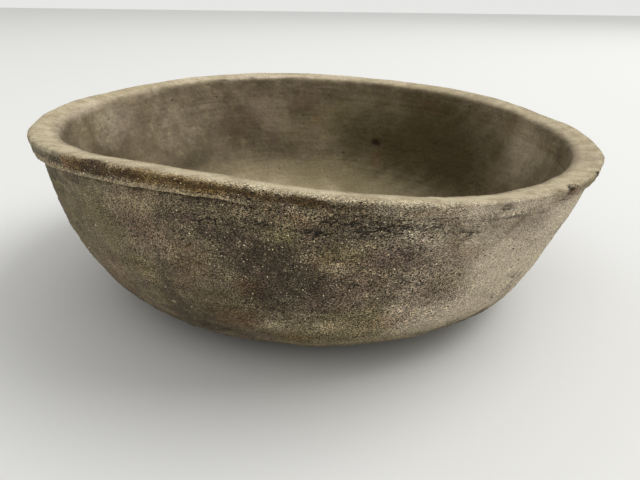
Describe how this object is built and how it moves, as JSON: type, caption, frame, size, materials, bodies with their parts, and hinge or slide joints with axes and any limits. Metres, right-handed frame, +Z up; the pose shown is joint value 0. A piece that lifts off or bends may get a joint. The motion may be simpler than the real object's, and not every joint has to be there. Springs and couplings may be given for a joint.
{
  "type": "pottery bowl",
  "caption": "Wide, open hand-built bowl of coarse unglazed fired clay, with rounded walls, a small flattened foot and a thick folded rim, for holding food or goods.",
  "frame": {"origin": "middle of the flat foot, on the surface that the bowl stands on", "axes": "+Z up out of the open mouth, -Y towards the side that the picture shows, +X to that view's right"},
  "size_m": [0.2901, 0.2908, 0.0953],
  "materials": {
    "fired_clay_foot": "matt, unglazed, gritty, worn where it stands",
    "fired_clay_wall": "matt, unglazed, gritty, smoke-clouded",
    "fired_clay_rim": "matt, unglazed, gritty, worn pale on the lip"
  },
  "bodies": {
    "root": {"base_pad": "fired_clay_foot", "lower_wall_coil": "fired_clay_wall", "middle_wall_coil": "fired_clay_wall", "upper_wall_coil": "fired_clay_wall", "rim_band": "fired_clay_rim"}
  },
  "joints": []
}
